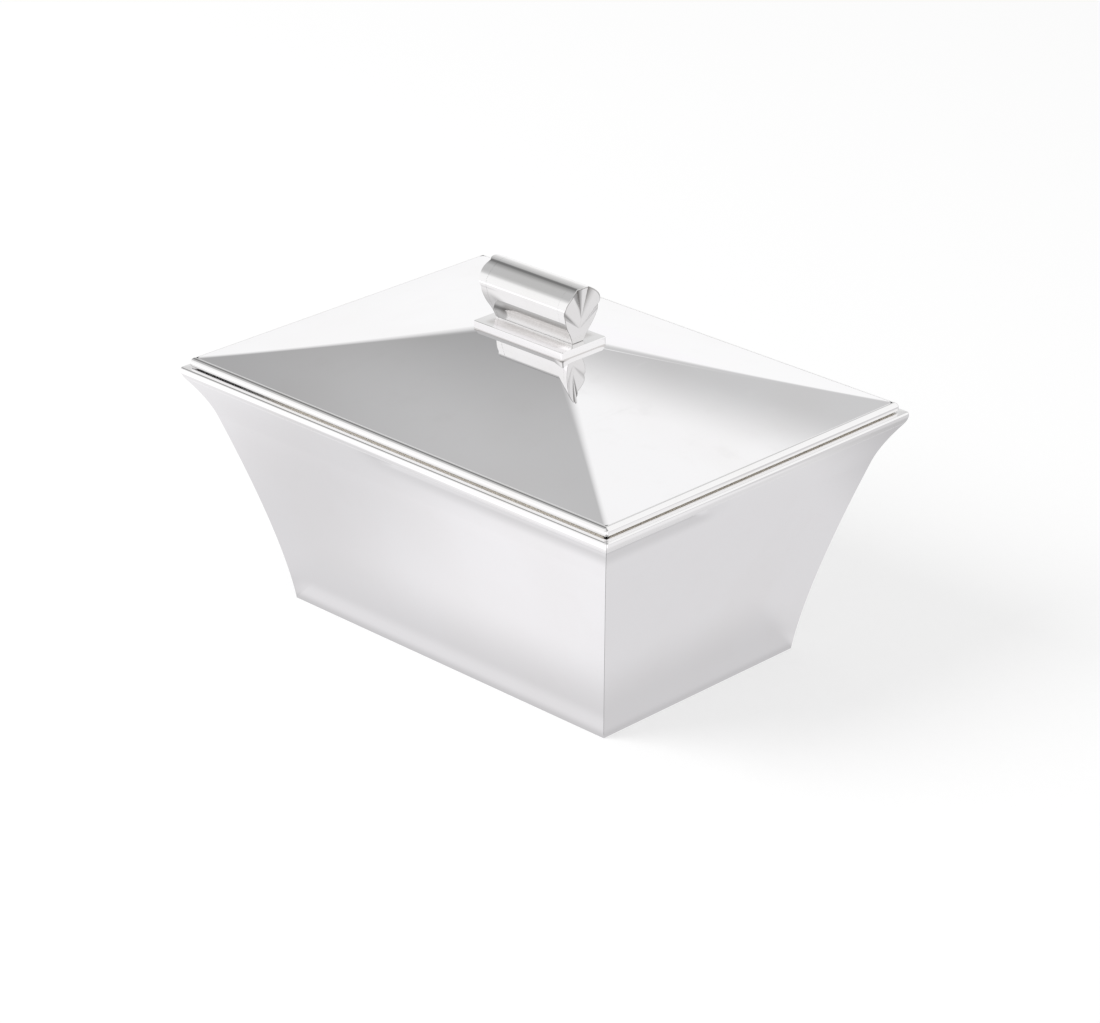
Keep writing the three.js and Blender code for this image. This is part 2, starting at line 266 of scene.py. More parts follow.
# In the silver the table looks dark where the walls touch it and beside their ends, with a light strip
# along the long sides, a pool of light in front, more light further forward and beyond the ends, and
# shade behind. Far off it turns white.
table_place = paint.node("ShaderNodeTexCoord", output="Object")
from_pool = paint.node(
    "ShaderNodeVectorMath", {"operation": "DISTANCE"}, {0: table_place, 1: pool_middle}, "Value"
)
table_x = paint.node("ShaderNodeSeparateXYZ", sockets={0: table_place}, output="X")
table_y = table_x.other("Y")
clear_x = paint.sum("MAXIMUM", paint.sum("ABSOLUTE", table_x) - foot_half_length)
clear_y = paint.sum("MAXIMUM", paint.sum("ABSOLUTE", table_y) - foot_half_width)
from_foot = paint.sum("SQRT", clear_x * clear_x + clear_y * clear_y)
pool = from_pool.smooth(*pool_fade, pool_light, 0) * from_foot.smooth(*pool_start)
front_strip = clear_y.smooth(*strip_start) * clear_y.smooth(*strip_stop, strip_light, 0)
front_strip = front_strip * clear_x.smooth(0, corner_fade, 1, 0)
end_strip = clear_x.smooth(0, end_start) * clear_x.smooth(*foot_fade, end_shade, 0)
end_strip = end_strip * clear_y.smooth(0, corner_fade, 1, 0)
close_shade = from_foot.smooth(*foot_fade, foot_shade, 0) + end_strip
close_shade = close_shade + from_foot.smooth(0, contact_fade, contact_shade, 0)
far_light = table_y.smooth(*front_fade, front_light, 0)
far_light = far_light + paint.sum("ABSOLUTE", table_x).smooth(*end_fade, 0, end_light)
far_shade = table_y.smooth(*back_fade, 0, back_shade)
table_level = plain_level + pool + front_strip + far_light - close_shade - far_shade
table_level = table_level + from_foot.smooth(*horizon_fade) * (1 - table_level)
table_colour = paint.node(
    "ShaderNodeVectorMath", {"operation": "SCALE"}, {0: table_tint, "Scale": table_level}, "Vector"
)
table_mirrored = paint.node("ShaderNodeEmission", sockets={"Color": table_colour, "Strength": 1})
table_glossy = paint.node("ShaderNodeLightPath", output="Is Glossy Ray")
table_both = paint.node(
    "ShaderNodeMixShader", sockets={0: table_glossy, 1: table_seen, 2: table_mirrored}
)
paint.node("ShaderNodeOutputMaterial", sockets={"Surface": table_both})
table_mesh.materials.append(table_paint)
table = bpy.data.objects.new("table", table_mesh)
scene.collection.objects.link(table)

lamp_size = 1.6
lamp_power = 26
lamp_place = Vector((-0.9, -1.5, 1.7))
lamp_light = bpy.data.lights.new("soft_lamp", "AREA")
lamp_light.shape = "DISK"
lamp_light.size = lamp_size
lamp_light.energy = lamp_power
lamp = bpy.data.objects.new("soft_lamp", lamp_light)
lamp.location = lamp_place
lamp.rotation_euler = lamp_place.to_track_quat("Z", "Y").to_euler()
lamp.visible_glossy = False
scene.collection.objects.link(lamp)


# Walls. Four sheets of polished silver plate lean out on a long slow curve and sweep out in a cove
# under the rim. Their upright ends are mitred and soldered, which leaves a hairline at each corner.
wall_sheet = 1.2 * mm
wall_foot = Vector((0, 0)) * mm
wall_bend = Vector((3.216, 25)) * mm
wall_top = Vector((18.3, 71.7)) * mm
cove_bend = Vector((20.529, 78.6)) * mm
cove_top = Vector((26.4, 86.6)) * mm
wall_steps = 30
cove_steps = 18
hairline = 0.04 * mm
wall_edge = 0.14 * mm
sheet_silver = (0.931, 0.923, 0.933)
sheet_bloom = (0.912, 0.9, 0.905)


def bend(start, pull, end, steps):
    """Points on a smooth bend from start to end that leans towards pull."""
    points = []
    for step in range(steps + 1):
        share = step / steps
        points.append(start * (1 - share) ** 2 + pull * 2 * share * (1 - share) + end * share**2)
    return points


def sheet_section(outer, sheet):
    """A closed section of even thickness behind an outer line of (reach, height) points."""
    inner = []
    for index, point in enumerate(outer):
        below = outer[max(index - 1, 0)]
        above = outer[min(index + 1, len(outer) - 1)]
        lean = (above.x - below.x) / (above.y - below.y)
        inner.append(Vector((point.x - sheet * math.hypot(1, lean), point.y)))
    return outer + inner[::-1]


def polished_silver(name, colour, bloom, roughness, ripple, recess=None, light_and_shade_colour=None, matt_cover=0):
    """Silver plate buffed to a mirror: a slow ripple, cloth marks, hairline scratches and a faint bloom.
    In its recess, a share worked out from the place, a painted colour stands in for light and shade:
    light in the gap under the lid, shade on the grip plate and fans. Matt cover is how far it hides metal."""
    bloom_patches = (0.42, 0.7)
    bloom_share = 0.6
    smudge_patches = (0.5, 0.72)
    smudge_share = 0.25
    smudge_wear = 0.03
    scratch_lines = (0.69, 0.76)
    scratch_wear = 0.02
    scratch_depth = 0.004
    recess_wear = 0.05
    matt_wear = 0.15
    cloth_tilt = 0.6
    cloth_marks = ((0.4, (1900, 60, 45)), (-0.7, (70, 2300, 40)), (1.1, (55, 40, 2100)))
    material = bpy.data.materials.new(name)
    metal = empty_tree(material)
    place = metal.node("ShaderNodeTexCoord", output="Object")
    broad = metal.node(
        "ShaderNodeTexNoise", sockets={"Vector": place, "Scale": 26, "Detail": 1.5, "Roughness": 0.4}
    )
    smudge = metal.node(
        "ShaderNodeTexNoise", sockets={"Vector": place, "Scale": 95, "Detail": 4, "Roughness": 0.6}
    )
    marks = []
    for turn, stretch in cloth_marks:
        laid = metal.node(
            "ShaderNodeMapping",
            sockets={"Vector": place, "Rotation": (turn, turn * cloth_tilt, turn), "Scale": stretch},
        )
        lines = metal.node("ShaderNodeTexNoise", sockets={"Vector": laid, "Scale": 1, "Detail": 1})
        marks.append(lines.smooth(*scratch_lines))
    scratch = metal.sum("MINIMUM", marks[0] + marks[1] + marks[2], 1)
    clouded = smudge.smooth(*smudge_patches)
    dulled = broad.smooth(*bloom_patches) * bloom_share + clouded * smudge_share
    tint = metal.node(
        "ShaderNodeMix",
        {"data_type": "RGBA"},
        {"Factor": dulled, "A": (*colour, 1), "B": (*bloom, 1)},
        "Result",
    )
    worn = roughness + clouded * smudge_wear + scratch * scratch_wear
    bare = 1
    # The recess colour is painted light in the gap under the lid and painted shade on the plate and fans.
    if recess:
        hidden = recess(place)
        tint = metal.node(
            "ShaderNodeMix",
            {"data_type": "RGBA"},
            {"Factor": hidden, "A": tint, "B": (*light_and_shade_colour, 1)},
            "Result",
        )
        worn = worn + hidden * (recess_wear + matt_cover * matt_wear)
        bare = 1 - hidden * matt_cover
    dents = metal.node(
        "ShaderNodeBump",
        sockets={"Height": broad + scratch * scratch_depth, "Strength": 1, "Distance": ripple},
        output="Normal",
    )
    surface = metal.node(
        "ShaderNodeBsdfPrincipled",
        sockets={"Base Color": tint, "Metallic": bare, "Roughness": worn, "Normal": dents},
    )
    metal.node("ShaderNodeOutputMaterial", sockets={"Surface": surface})
    return material


def geometry_tree(name, inputs):
    """A new tree with a geometry in and out and the given named inputs, and its input signal."""
    tree = bpy.data.node_groups.new(name, "GeometryNodeTree")
    tree.interface.new_socket("Geometry", in_out="INPUT", socket_type="NodeSocketGeometry")
    for label, kind in inputs:
        tree.interface.new_socket(label, in_out="INPUT", socket_type=kind)
    tree.interface.new_socket("Geometry", in_out="OUTPUT", socket_type="NodeSocketGeometry")
    return Signal(tree).node("NodeGroupInput", output="Geometry")


def close_tree(shape, material):
    """Ends a tree: instances are made real and the material is put on."""
    real = shape.node("GeometryNodeRealizeInstances", sockets={"Geometry": shape})
    dressed = real.node("GeometryNodeSetMaterial", sockets={"Geometry": real, "Material": material})
    shape.node("NodeGroupOutput", sockets={"Geometry": dressed})


def run_tree(piece, tree, **values):
    """Runs a geometry tree on a piece and keeps the plain mesh that it makes."""
    modifier = piece.modifiers.new(tree.name, "NODES")
    modifier.node_group = tree
    labels = {item.name: item.identifier for item in tree.interface.items_tree if item.in_out == "INPUT"}
    for label, value in values.items():
        modifier[labels[label.replace("_", " ")]] = value
    made = piece.evaluated_get(bpy.context.evaluated_depsgraph_get())
    mesh = bpy.data.meshes.new_from_object(made)
    piece.modifiers.clear()
    piece.data = mesh
    face_outwards(mesh)


def face_outwards(mesh):
    """Joins the points of a mesh that meet and turns its faces outwards."""
    joining = 0.0005 * mm
    shape = bmesh.new()
    shape.from_mesh(mesh)
    bmesh.ops.remove_doubles(shape, verts=shape.verts, dist=joining)
    bmesh.ops.recalc_face_normals(shape, faces=shape.faces)
    shape.to_mesh(mesh)
    shape.free()


def new_piece(name, points, edges=(), faces=()):
    """Puts a new object into the scene, made of plain points, edges and faces."""
    mesh = bpy.data.meshes.new(name)
    mesh.from_pydata(points, edges, faces)
    piece = bpy.data.objects.new(name, mesh)
    scene.collection.objects.link(piece)
    return piece


def round_edges(piece, width, steps=2, angle=32):
    """Smooth faces, with each sharp edge rounded over by a small radius."""
    piece.data.shade_smooth()
    piece.data.set_sharp_from_angle(angle=math.radians(angle))
    rounding = piece.modifiers.new("rounded_edges", "BEVEL")
    rounding.width = width
    rounding.segments = steps
    rounding.limit_method = "ANGLE"
    rounding.angle_limit = math.radians(angle)
    rounding.harden_normals = True


def fit(piece, body, finish, *nodes):
    """Fixes a piece to its body, in place of the solids it stands for. The finish is not used."""
    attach(piece, body)
    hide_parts(*nodes)


# One side of an oblong frame. A section of (reach, corner radius, height) points is carried along a
# rail, and each point is set out by its own reach, so that the ends meet in mitres or rounded corners.
length_in = geometry_tree("mitred_length", [
    ("Half run", "NodeSocketFloat"),
    ("Half depth", "NodeSocketFloat"),
    ("Gap", "NodeSocketFloat"),
    ("Turn", "NodeSocketFloat"),
    ("Corner steps", "NodeSocketInt"),
    ("Material", "NodeSocketMaterial"),
])
section_line = length_in.node("GeometryNodeMeshToCurve", sockets={"Mesh": length_in})
section_point = length_in.node("GeometryNodeInputPosition")
section_line = length_in.node(
    "GeometryNodeStoreNamedAttribute",
    {"data_type": "FLOAT_VECTOR", "domain": "POINT"},
    {"Geometry": section_line, "Name": "section", "Value": section_point},
)
corner_steps = length_in.other("Corner steps")
rail = length_in.node("GeometryNodeCurvePrimitiveLine", sockets={"Start": (-1, 0, 0), "End": (1, 0, 0)})
rail = length_in.node(
    "GeometryNodeResampleCurve", sockets={"Curve": rail, "Count": 2 * corner_steps + 2}
)
from_middle = length_in.node("GeometryNodeInputIndex") - corner_steps - 0.5
corner_share = (length_in.sum("ABSOLUTE", from_middle) - 0.5) / corner_steps
place_along = length_in.node("ShaderNodeCombineXYZ", sockets={
    "X": length_in.sum("SIGN", from_middle),
    "Y": corner_share * (math.pi / 4),
})
rail = length_in.node(
    "GeometryNodeStoreNamedAttribute",
    {"data_type": "FLOAT_VECTOR", "domain": "POINT"},
    {"Geometry": rail, "Name": "along", "Value": place_along},
)
swept = length_in.node(
    "GeometryNodeCurveToMesh", sockets={"Curve": rail, "Profile Curve": section_line, "Fill Caps": True}
)
section = length_in.node(
    "GeometryNodeInputNamedAttribute", {"data_type": "FLOAT_VECTOR"}, {"Name": "section"}, "Attribute"
)
along_rail = length_in.node(
    "GeometryNodeInputNamedAttribute", {"data_type": "FLOAT_VECTOR"}, {"Name": "along"}, "Attribute"
)
section_reach = length_in.node("ShaderNodeSeparateXYZ", sockets={0: section}, output="X")
corner_radius = section_reach.other("Y")
rail_end = length_in.node("ShaderNodeSeparateXYZ", sockets={0: along_rail}, output="X")
corner_angle = rail_end.other("Y")
corner_run = corner_radius * (length_in.sum("SINE", corner_angle) - 1) - length_in.other("Gap")
corner_depth = corner_radius * (length_in.sum("COSINE", corner_angle) - 1)
mitred = length_in.node("ShaderNodeCombineXYZ", sockets={
    "X": rail_end * (length_in.other("Half run") + section_reach + corner_run),
    "Y": -1 * (length_in.other("Half depth") + section_reach + corner_depth),
    "Z": section_reach.other("Z"),
})
shaped = length_in.node("GeometryNodeSetPosition", sockets={"Geometry": swept, "Position": mitred})
turn_about = length_in.node("ShaderNodeCombineXYZ", sockets={"Z": length_in.other("Turn")})
turned_round = length_in.node(
    "GeometryNodeTransform", sockets={"Geometry": shaped, "Rotation": turn_about}
)
close_tree(turned_round, length_in.other("Material"))
mitred_length = length_in.tree

rounded_corner_steps = 6
sides = (
    ("front", 0, foot_half_length, foot_half_width),
    ("right", 90, foot_half_width, foot_half_length),
    ("back", 180, foot_half_length, foot_half_width),
    ("left", 270, foot_half_width, foot_half_length),
)


def four_lengths(kind, points, corner, material, edge, body, finish):
    """Runs a section of (reach, height) points round the four sides, mitred at the corners, which are
    rounded by the corner radius at the furthest reach and by less further in."""
    count = len(points)
    loop = [(index, (index + 1) % count) for index in range(count)]
    furthest = max(point.x for point in points)
    outline = [(point.x, max(corner - furthest + point.x, 0), point.y) for point in points]
    steps = rounded_corner_steps if corner else 1
    for side, turn, half_run, half_depth in sides:
        piece = new_piece(f"{side}_{kind}_skin", outline, loop)
        run_tree(
            piece, mitred_length, Half_run=half_run, Half_depth=half_depth, Gap=hairline,
            Turn=math.radians(turn), Corner_steps=steps, Material=material,
        )
        round_edges(piece, edge)
        fit(piece, body, finish, f"{side}_{kind}")


wall_line = bend(wall_foot, wall_bend, wall_top, wall_steps)
wall_line += bend(wall_top, cove_bend, cove_top, cove_steps)[1:]
wall_silver = polished_silver(
    "wall_silver", sheet_silver, sheet_bloom, roughness=0.045, ripple=0.012 * mm
)
four_lengths(
    "panel", sheet_section(wall_line, wall_sheet), 0, wall_silver, wall_edge, "box", "polished_silver"
)

# Floor. A flat sheet is let in between the feet of the walls and soldered flush with them underneath.
# It is the same silver plate, less often polished.
floor_half_length = 76.1 * mm
floor_half_width = 46.1 * mm
floor_sheet = 1.5 * mm
floor_edge = 0.12 * mm
floor_colour = (0.91, 0.90, 0.88)
floor_bloom = (0.85, 0.82, 0.76)


def slab(name, half_length, half_width, low, high):
    """A flat oblong block between two heights, centred on the box."""
    shape = bmesh.new()
    bmesh.ops.create_cube(shape, size=1)
    for corner in shape.verts:
        corner.co.x *= 2 * half_length
        corner.co.y *= 2 * half_width
        corner.co.z = low if corner.co.z < 0 else high
    piece = new_piece(name, [])
    shape.to_mesh(piece.data)
    shape.free()
    return piece


floor_silver = polished_silver(
    "floor_silver", floor_colour, floor_bloom, roughness=0.12, ripple=0.02 * mm
)
floor = slab("base_plate_skin", floor_half_length, floor_half_width, 0, floor_sheet)
floor.data.materials.append(floor_silver)
round_edges(floor, floor_edge)
fit(floor, "box", "polished_silver", "base_plate")

# Rim. Four lengths of rolled moulding stiffen the mouth: a flat ledge for the lid to stand on, and a
# soft lip that carries on the sweep of the wall. They are mitred at the corners and soldered on.
rim_low = 86.65 * mm
rim_top = 90.6 * mm
lip_reach = 27.5 * mm
lip_pull = 88.3 * mm
lip_flat = 89.4 * mm
lip_steps = 16
lip_round = 0.8 * mm
lip_round_steps = 8
ledge_inner = 19.3 * mm
ledge_low = 88.6 * mm
rim_inner_foot = 24.91 * mm
rim_edge = 0.04 * mm
rim_corner = 1.3 * mm
moulding_silver = (0.94, 0.934, 0.936)
moulding_bloom = (0.92, 0.91, 0.9)
# Painted light: a pale warm matt colour that lightens the gap under the lid, where bare mirror renders
# black.
gap_painted_light = (1, 0.96, 0.89)
gap_light_cover = 1
gap_light_patches = (0.2, 0.5)
thin_gap_light = 0.8
gap_light_starts = (-82 * mm, -40 * mm)
open_corner = (0.6 * mm, 2.2 * mm)
bead_reach = 24.9 * mm
gap_light_ends = (bead_reach - 0.9 * mm, bead_reach + 0.1 * mm)


def past_the_foot(place):
    """How far a place stands out past the ends and past the long sides of the foot."""
    place_x = place.node("ShaderNodeSeparateXYZ", sockets={0: place}, output="X")
    out_x = place.sum("ABSOLUTE", place_x) - foot_half_length
    out_y = place.sum("ABSOLUTE", place_x.other("Y")) - foot_half_width
    return out_x, out_y


def painted_light_along_gap(place):
    """Painted light: a pale matt film that lightens the gap under the lid, but not its left end or corners.
    """
    out_x, out_y = past_the_foot(place)
    patch = place.node("ShaderNodeTexNoise", sockets={"Vector": place, "Scale": 160, "Detail": 2})
    place_x = place.node("ShaderNodeSeparateXYZ", sockets={0: place}, output="X")
    from_corner = place.sum("ABSOLUTE", out_x - out_y)
    cover = place_x.smooth(*gap_light_starts) * patch.smooth(*gap_light_patches, thin_gap_light, 1)
    return cover * from_corner.smooth(*open_corner)


def under_the_bead(place):
    """The strip of the ledge below the bead, which takes the gap's painted light."""
    out_x, out_y = past_the_foot(place)
    reach = place.sum("MAXIMUM", out_x, out_y)
    return reach.smooth(*gap_light_ends, 1, 0) * painted_light_along_gap(place)


rim_line = [Vector((rim_inner_foot, rim_low))]
rim_line += bend(
    Vector((cove_top.x, rim_low)),
    Vector((lip_reach, lip_pull)),
    Vector((lip_reach, lip_flat)),
    lip_steps,
)
rim_line += bend(
    Vector((lip_reach, rim_top - lip_round)),
    Vector((lip_reach, rim_top)),
    Vector((lip_reach - lip_round, rim_top)),
    lip_round_steps,
)
rim_line += [
    Vector((ledge_inner, rim_top)),
    Vector((ledge_inner, ledge_low)),
    Vector((rim_inner_foot, ledge_low)),
]
# The ledge under the bead takes the gap's painted light.
rim_silver = polished_silver(
    "rim_silver", moulding_silver, moulding_bloom, roughness=0.05, ripple=0.004 * mm,
    recess=under_the_bead, light_and_shade_colour=gap_painted_light, matt_cover=gap_light_cover,
)
four_lengths("rim", rim_line, rim_corner, rim_silver, rim_edge, "box", "polished_silver")

# Beads. Silver mouldings are soldered along the four eaves of the lid and mitred at the corners. They are
# straight at the side and rounded over on top. A pale warm matt film, painted light, lightens the narrow
# gap below them.
bead_back = 23.1 * mm
bead_low = 91 * mm
bead_top = 94.1 * mm
bead_round = 1.6 * mm
bead_round_steps = 20
bead_foot = 0.55 * mm
bead_foot_steps = 6
gap_light_height = 0.15 * mm
bead_edge = 0.08 * mm
bead_corner = 1.2 * mm


def quarter(middle, half_width, half_height, start, steps):
    """Points on a quarter of an oval, turning from the start angle."""
    points = []
    for step in range(steps + 1):
        angle = math.radians(start + 90 * step / steps)
        points.append(middle + Vector((half_width * math.cos(angle), half_height * math.sin(angle))))
    return points


bead_line = [Vector((bead_back, bead_low))]
bead_line += quarter(
    Vector((bead_reach - bead_foot, bead_low + bead_foot)), bead_foot, bead_foot, -90, bead_foot_steps
)
bead_line += quarter(
    Vector((bead_back, bead_top - bead_round)), bead_reach - bead_back, bead_round, 0, bead_round_steps
)


def inside_the_gap(place):
    """The underside of the bead and the foot of the roof's skirt, which face the gap."""
    height = place.node("ShaderNodeSeparateXYZ", sockets={0: place}, output="Z")
    return height.smooth(bead_low, bead_low + gap_light_height, 1, 0) * painted_light_along_gap(place)


# The underside of the bead takes the gap's painted light.
bead_silver = polished_silver(
    "bead_silver", moulding_silver, moulding_bloom, roughness=0.05, ripple=0.003 * mm,
    recess=inside_the_gap, light_and_shade_colour=gap_painted_light, matt_cover=gap_light_cover,
)
four_lengths("bead", bead_line, bead_corner, bead_silver, bead_edge, "lid", "polished_silver")

# Roof of the lid. One sheet is pressed into four slopes that sweep up gently to a flat table for the
# grip, with hips that soften towards it and a short skirt turned down behind the beads. It is buffed to
# the brightest mirror of all.
eave_half_length = 100.55 * mm
eave_half_width = 70.55 * mm
table_half_length = 21.25 * mm
table_half_width = 10.35 * mm
eave_height = bead_top
roof_rise = 16.5 * mm
eave_radius = 1.6 * mm
hip_radius = 4.5 * mm
hip_growth = 2
roof_sweep = 0.16
skirt_low = 90.9 * mm
roof_sheet = 1 * mm
roof_edge = 0.12 * mm
roof_steps = 36
hip_steps = 12
roof_colour = (0.938, 0.932, 0.942)


def rounded_ring(half_length, half_width, radius, height):
    """An oblong ring of points with four rounded corners."""
    ring = []
    for corner, (sign_x, sign_y) in enumerate(((1, 1), (-1, 1), (-1, -1), (1, -1))):
        for step in range(hip_steps + 1):
            angle = (corner + step / hip_steps) * math.pi / 2
            ring.append((
                sign_x * (half_length - radius) + radius * math.cos(angle),
                sign_y * (half_width - radius) + radius * math.sin(angle),
                height,
            ))
    return ring


def roof_ring(share, sheet):
    """The ring of the roof at a share of the way from the eave to the table, set in by the sheet."""
    half_length = eave_half_length + (table_half_length - eave_half_length) * share - sheet
    half_width = eave_half_width + (table_half_width - eave_half_width) * share - sheet
    radius = eave_radius + (hip_radius - eave_radius) * share**hip_growth - sheet
    climb = share - roof_sweep * share * (1 - share)
    return rounded_ring(half_length, half_width, radius, eave_height + roof_rise * climb - sheet)


def skirt_ring(sheet):
    """The ring at the foot of the skirt, set in by the sheet."""
    return rounded_ring(
        eave_half_length - sheet, eave_half_width - sheet, eave_radius - sheet, skirt_low
    )


def loft(name, rings, closed=False):
    """Skins a row of rings with as many points each, and caps the two ends or joins them up."""
    count = len(rings[0])
    faces = []
    for first in range(len(rings) if closed else len(rings) - 1):
        second = (first + 1) % len(rings)
        for index in range(count):
            after = (index + 1) % count
            faces.append((
                first * count + index, first * count + after,
                second * count + after, second * count + index,
            ))
    if not closed:
        faces.append(tuple(range(count)))
        faces.append(tuple(range((len(rings) - 1) * count, len(rings) * count)))
    piece = new_piece(name, [point for ring in rings for point in ring], (), faces)
    face_outwards(piece.data)
    return piece


def even_normals(piece):
    """Lets the broad faces set the normals, so that the slopes mirror cleanly up to their hips."""
    weights = piece.modifiers.new("even_normals", "WEIGHTED_NORMAL")
    weights.keep_sharp = True
    weights.weight = 100


roof_shares = [(1 - math.cos(math.pi * step / roof_steps)) / 2 for step in range(roof_steps + 1)]
roof_rings = [roof_ring(share, roof_sheet) for share in reversed(roof_shares)]
roof_rings += [skirt_ring(roof_sheet), skirt_ring(0)]
roof_rings += [roof_ring(share, 0) for share in roof_shares]
roof = loft("lid_roof_skin", roof_rings)
# The foot of the skirt takes the gap's painted light.
roof_silver = polished_silver(
    "roof_silver", roof_colour, sheet_bloom, roughness=0.03, ripple=0.006 * mm,
    recess=inside_the_gap, light_and_shade_colour=gap_painted_light, matt_cover=gap_light_cover,
)
roof.data.materials.append(roof_silver)
round_edges(roof, roof_edge)
even_normals(roof)
fit(roof, "lid", "polished_silver", "lid_roof")

# Bezels. Four angle strips of thinner sheet are soldered inside the skirt. They drop into the mouth of
# the box and keep the lid from sliding, and are left with a satin finish.
bezel_low = 84.6 * mm
bezel_face = 18.8 * mm
bezel_sheet = 1 * mm
flange_edge = 21.85 * mm
flange_low = 91.1 * mm
flange_high = 92.1 * mm
bezel_edge = 0.12 * mm
satin_colour = (0.86, 0.85, 0.82)
satin_bloom = (0.78, 0.74, 0.67)

bezel_line = [
    Vector((bezel_face - bezel_sheet, bezel_low)),
    Vector((bezel_face, bezel_low)),
    Vector((bezel_face, flange_low)),
    Vector((flange_edge, flange_low)),
    Vector((flange_edge, flange_high)),
    Vector((bezel_face - bezel_sheet, flange_high)),
]
satin_silver = polished_silver(
    "satin_silver", satin_colour, satin_bloom, roughness=0.28, ripple=0.003 * mm
)
four_lengths("bezel", bezel_line, 0, satin_silver, bezel_edge, "lid", "inside_silver")

# Grip plate. A flat oblong of polished plate stands on the table of the roof, just larger than it, and
# is clamped between the grip and the roof.
plate_half_length = 21.75 * mm
plate_half_width = 10.85 * mm
plate_low = 110.62 * mm
plate_rim_low = 110.3 * mm
plate_top = 113.4 * mm
plate_edge = 0.3 * mm
plate_corner = 0.8 * mm
plate_foot_edge = 0.03 * mm
plate_edge_steps = 6
# Painted shade on the grip plate: grey strips under the lobes of the grip and a dark line along its foot.
plate_painted_shade = (0.7, 0.68, 0.67)
plate_shade_patches = (0.25, 0.6)
thin_plate_shade = 0.7
strip_inner = (3.4 * mm, 4.8 * mm)
strip_outer = (7.2 * mm, 10 * mm)
strip_end = (16 * mm, 19 * mm)
foot_line = (plate_low + 0.1 * mm, plate_low + 0.35 * mm)


def painted_shade_on_plate(place):
    """Painted shade: strips on top, under the lobes, and a dark line along the foot."""
    place_x = place.node("ShaderNodeSeparateXYZ", sockets={0: place}, output="X")
    along = place.sum("ABSOLUTE", place_x)
    across = place.sum("ABSOLUTE", place_x.other("Y"))
    patch = place.node("ShaderNodeTexNoise", sockets={"Vector": place, "Scale": 900, "Detail": 3})
    strip = across.smooth(*strip_inner) * across.smooth(*strip_outer, 1, 0)
    strip = strip * along.smooth(*strip_end, 1, 0) * patch.smooth(*plate_shade_patches, thin_plate_shade, 1)
    foot = place_x.other("Z").smooth(*foot_line, 1, 0)
    return place.sum("MAXIMUM", strip, foot)


plate_rings = [
    rounded_ring(table_half_length, table_half_width, plate_corner, plate_low),
    rounded_ring(plate_half_length, plate_half_width, plate_corner, plate_rim_low),
]
for step in range(plate_edge_steps + 1):
    angle = math.pi / 2 * step / plate_edge_steps
    inset = plate_edge * (1 - math.cos(angle))
    height = plate_top - plate_edge * (1 - math.sin(angle))
    plate_rings.append(
        rounded_ring(plate_half_length - inset, plate_half_width - inset, plate_corner - inset, height)
    )
plate = loft("grip_plate_skin", plate_rings)
# The plate carries painted shade under the lobes and along its foot.
plate_silver = polished_silver(
    "plate_silver", moulding_silver, moulding_bloom, roughness=0.07, ripple=0.002 * mm,
    recess=painted_shade_on_plate, light_and_shade_colour=plate_painted_shade,
)
plate.data.materials.append(plate_silver)
round_edges(plate, plate_foot_edge)
fit(plate, "lid", "polished_silver", "grip_plate")

# Grip bar. A cast and polished bar rises from a narrow foot through two lower lobes and two full upper
# lobes to a narrow crest. Each lobe runs the whole length and ends as one petal of a fan.
bar_half_length = 17.37 * mm
bar_low = 113.44 * mm
stem_foot = Vector((2.75 * mm, bar_low))
stem_bend = Vector((3.7, 116)) * mm
hip = Vector((5, 118)) * mm
lower_lobe = Vector((7.62, 121.55)) * mm
shoulder = Vector((8.4, 125.9)) * mm
upper_lobe = Vector((9.95, 129.975)) * mm
crest_edge = Vector((2.7, 134.05)) * mm
crest_bend = Vector((0, 135.15)) * mm
lower_heart = 118.6 * mm
upper_heart = 122.7 * mm
petal_steps = 24
bar_edge = 0.02 * mm
lobe_angle = 28


def mirrored(point):
    """The same point on the other side of the spine."""
    return Vector((-point.x, point.y))


# Each petal is a stretch of the outline with the heights on the spine that its two ends run in to.
near_petals = [
    (stem_foot, stem_bend, hip, lower_heart, lower_heart),
    (hip, lower_lobe, shoulder, lower_heart, lower_heart),
    (shoulder, upper_lobe, crest_edge, lower_heart, upper_heart),
]
crest_petal = (crest_edge, crest_bend, mirrored(crest_edge), upper_heart, upper_heart)
far_petals = [
    (mirrored(end), mirrored(pull), mirrored(start), heart_end, heart_start)
    for start, pull, end, heart_start, heart_end in reversed(near_petals)
]
stem_base = (mirrored(stem_foot), Vector((0, bar_low)), stem_foot, lower_heart, lower_heart)
petals = near_petals + [crest_petal] + far_petals + [stem_base]

bar_line = []
for start, pull, end, *hearts in petals:
    bar_line += bend(start, pull, end, petal_steps)[:-1]
bar = loft("grip_bar_skin", [
    [(x, point.x, point.y) for point in bar_line] for x in (-bar_half_length, bar_half_length)
])
bar_silver = polished_silver(
    "bar_silver", moulding_silver, moulding_bloom, roughness=0.06, ripple=0.002 * mm
)
bar.data.materials.append(bar_silver)
round_edges(bar, bar_edge, angle=lobe_angle)
fit(bar, "lid", "polished_silver", "grip_bar")

# Fans. A cast cap closes each end of the bar: rounded petals spread from two hearts on the spine, with
# a sharp crease between each pair, and the face leans in from the crest down to the stem.
fan_back = 17.4 * mm
fan_crest = 22.1 * mm
fan_foot_inset = 3.4 * mm
crest_top = 134.6 * mm
fan_lean = fan_foot_inset / (crest_top - plate_top)
pleat_depth = 1 * mm
petal_flat = 0.45
shoulder_fold = 0.5
fan_lip = 0.16 * mm
crease_power = 1.5
crease_angle = 24
# Painted shade on the fans: deep in the creases, faint over the whole face, and a dark line inside the
# edge.
fan_painted_shade = (0.22, 0.21, 0.2)
face_shade = 0.2
edge_shade = 0.8
heart_shade = 0.3
shade_power = 1.3

